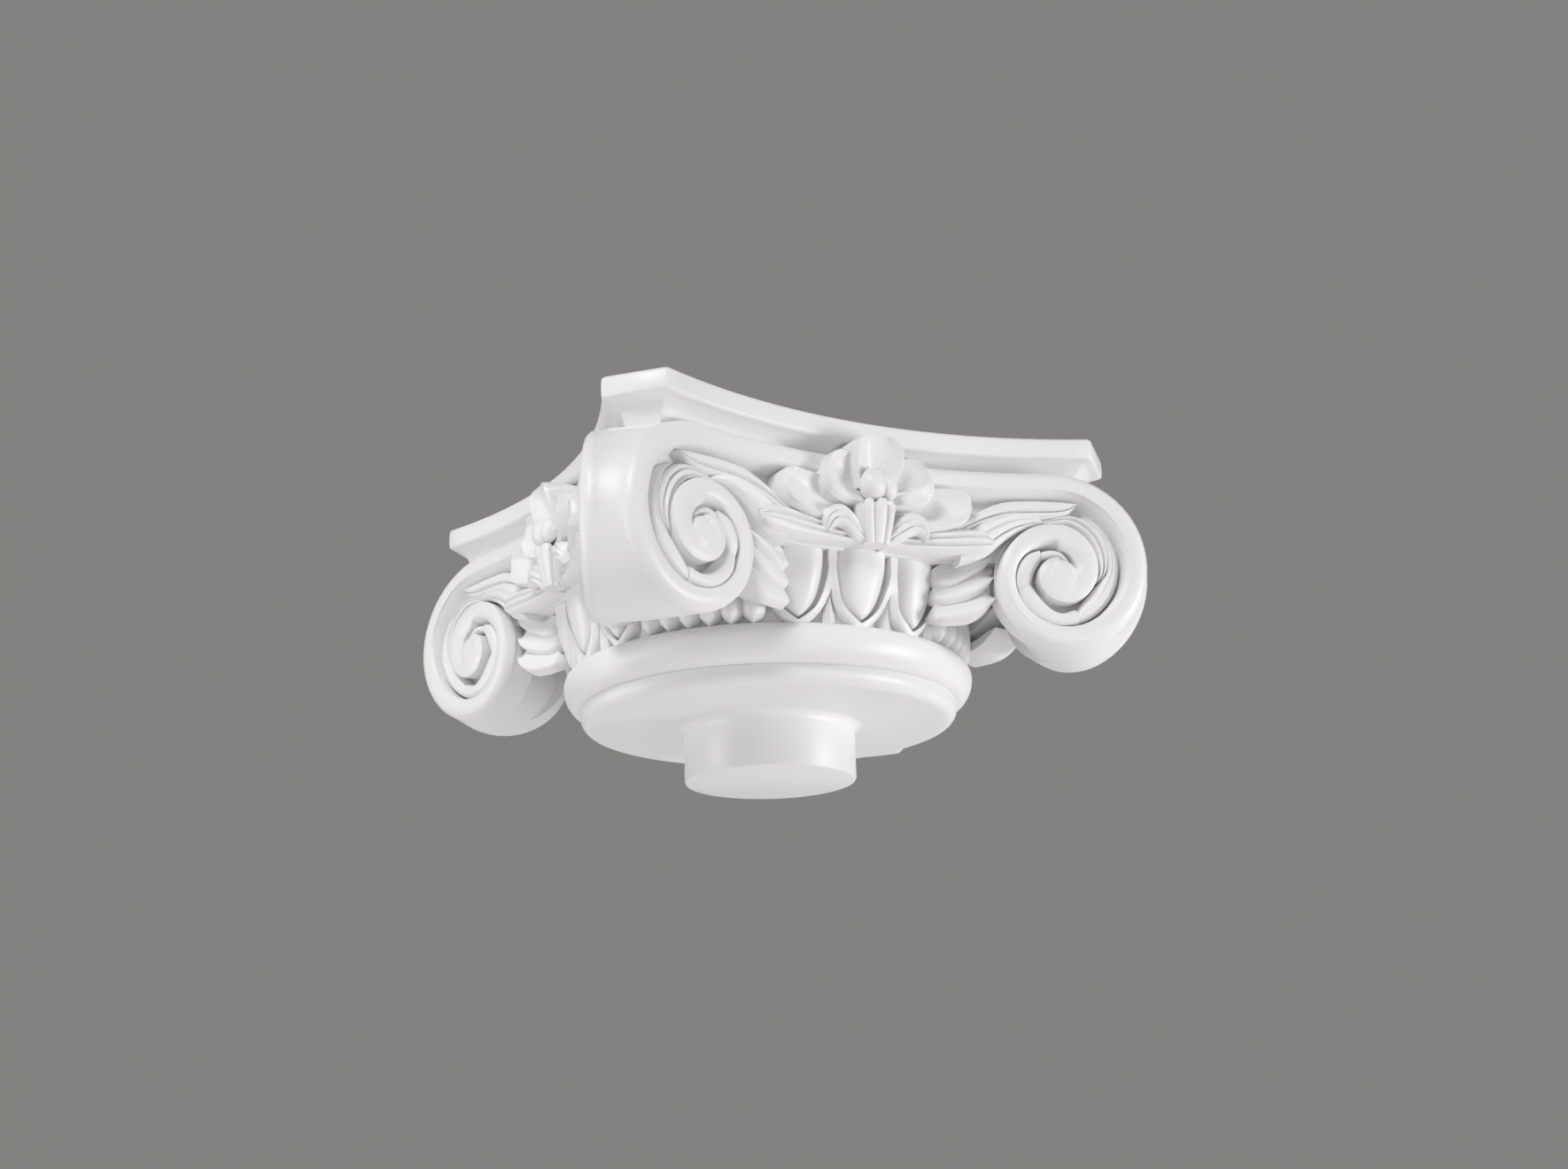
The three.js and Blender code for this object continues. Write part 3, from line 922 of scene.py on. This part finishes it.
def white_finish(settings):
    """Satin white of a moulded and painted surface."""
    finish = bpy.data.materials.new("Satin white")
    finish.use_nodes = True
    nodes = finish.node_tree.nodes
    links = finish.node_tree.links
    shader = nodes["Principled BSDF"]
    place = nodes.new("ShaderNodeTexCoord")
    cloud = nodes.new("ShaderNodeTexNoise")
    cloud.inputs["Scale"].default_value = 14
    cloud.inputs["Detail"].default_value = 3
    tint = nodes.new("ShaderNodeMix")
    tint.data_type = "RGBA"
    tint.inputs["A"].default_value = settings.white
    tint.inputs["B"].default_value = settings.light_white
    gloss = nodes.new("ShaderNodeMapRange")
    gloss.inputs["To Min"].default_value = 0.36
    gloss.inputs["To Max"].default_value = 0.46
    links.new(place.outputs["Object"], cloud.inputs["Vector"])
    links.new(cloud.outputs["Fac"], tint.inputs["Factor"])
    links.new(cloud.outputs["Fac"], gloss.inputs["Value"])
    links.new(tint.outputs["Result"], shader.inputs["Base Color"])
    links.new(gloss.outputs["Result"], shader.inputs["Roughness"])
    return finish


class CAPITAL_OT_stage(bpy.types.Operator):
    """Set the floor, the lights and the camera."""

    bl_idname = "capital.stage"
    bl_label = "Stage"

    def execute(self, context):
        settings = context.scene.capital_settings
        mesh = bmesh.new()
        bmesh.ops.create_grid(mesh, x_segments=1, y_segments=1, size=FLOOR_SIZE)
        floor = keep(mesh, "studio_floor")
        floor.data.transform(Matrix.Translation((0, 0, settings.floor_height)))
        floor.data.materials.append(floor_finish(settings))
        world = bpy.data.worlds.new("Studio grey")
        world.use_nodes = True
        background = world.node_tree.nodes["Background"]
        background.inputs["Color"].default_value = settings.studio_grey
        background.inputs["Strength"].default_value = 1
        context.scene.world = world
        context.scene.view_settings.view_transform = "Standard"
        for name, place, size, power in LIGHTS:
            area_light(name, place, size, power)
        context.scene.camera = photo_camera()
        return {"FINISHED"}


def photo_camera():
    """Camera that sees the capital as the photo does."""
    lens = bpy.data.cameras.new("Photo camera")
    lens.sensor_width = SENSOR_WIDTH
    lens.lens = FOCAL_LENGTH
    camera = bpy.data.objects.new("Photo camera", lens)
    back = Vector(CAMERA_BACK).normalized()
    right = Vector((0, 0, 1)).cross(back).normalized()
    up = back.cross(right)
    right_rolled = right * math.cos(CAMERA_ROLL) + up * math.sin(CAMERA_ROLL)
    up_rolled = back.cross(right_rolled)
    turn = Matrix((right_rolled, up_rolled, back)).transposed().to_4x4()
    camera.matrix_world = Matrix.Translation(CAMERA_PLACE) @ turn
    bpy.context.scene.collection.objects.link(camera)
    return camera


def floor_finish(settings):
    """Pale floor that glows softly, so that the underside is lit."""
    finish = bpy.data.materials.new("Pale floor")
    finish.use_nodes = True
    nodes = finish.node_tree.nodes
    links = finish.node_tree.links
    shader = nodes["Principled BSDF"]
    place = nodes.new("ShaderNodeTexCoord")
    spread = nodes.new("ShaderNodeMapping")
    spread.inputs["Location"].default_value = (0.5, 0.5, 0.5)
    spread.inputs["Scale"].default_value = (0.5 / FLOOR_SIZE, 0.5 / FLOOR_SIZE, 0)
    cloud = nodes.new("ShaderNodeTexNoise")
    cloud.inputs["Scale"].default_value = 3
    tint = nodes.new("ShaderNodeMix")
    tint.data_type = "RGBA"
    tint.inputs["A"].default_value = settings.floor_colour
    tint.inputs["B"].default_value = settings.light_floor
    links.new(place.outputs["Object"], spread.inputs["Vector"])
    links.new(spread.outputs["Vector"], cloud.inputs["Vector"])
    links.new(cloud.outputs["Fac"], tint.inputs["Factor"])
    links.new(tint.outputs["Result"], shader.inputs["Base Color"])
    links.new(tint.outputs["Result"], shader.inputs["Emission Color"])
    shader.inputs["Emission Strength"].default_value = 0.85
    shader.inputs["Roughness"].default_value = 0.8
    return finish


def area_light(name, place, size, power):
    """Square lamp aimed at the capital."""
    lamp = bpy.data.lights.new(name, "AREA")
    lamp.size = size
    lamp.energy = power
    lamp.spread = LIGHT_SPREAD
    item = bpy.data.objects.new(name, lamp)
    item.location = place
    aim = Vector(LIGHT_AIM) - Vector(place)
    item.rotation_euler = aim.to_track_quat("-Z", "Y").to_euler()
    bpy.context.scene.collection.objects.link(item)


class CAPITAL_PT_panel(bpy.types.Panel):
    """Sidebar panel with the capital's steps."""

    bl_idname = "CAPITAL_PT_panel"
    bl_label = "Ionic capital"
    bl_space_type = "VIEW_3D"
    bl_region_type = "UI"
    bl_category = "Capital"

    def draw(self, context):
        settings = context.scene.capital_settings
        for name in CAPITAL_PG_settings.__annotations__:
            self.layout.prop(settings, name)
        for step in STEPS:
            self.layout.operator(step.bl_idname)


STEPS = (
    CAPITAL_OT_body,
    CAPITAL_OT_volutes,
    CAPITAL_OT_eggs,
    CAPITAL_OT_carving,
    CAPITAL_OT_finish,
    CAPITAL_OT_stage,
)


def register():
    """Add the settings, the operators and the panel."""
    bpy.utils.register_class(CAPITAL_PG_settings)
    for step in STEPS:
        bpy.utils.register_class(step)
    bpy.utils.register_class(CAPITAL_PT_panel)
    bpy.types.Scene.capital_settings = bpy.props.PointerProperty(type=CAPITAL_PG_settings)


def unregister():
    """Remove what register added."""
    del bpy.types.Scene.capital_settings
    bpy.utils.unregister_class(CAPITAL_PT_panel)
    for step in reversed(STEPS):
        bpy.utils.unregister_class(step)
    bpy.utils.unregister_class(CAPITAL_PG_settings)


def main():
    """Build the capital on its stage."""
    register()
    bpy.ops.capital.body()
    bpy.ops.capital.volutes()
    bpy.ops.capital.eggs()
    bpy.ops.capital.carving()
    bpy.ops.capital.finish()
    bpy.ops.capital.stage()


if __name__ == "__main__":
    main()
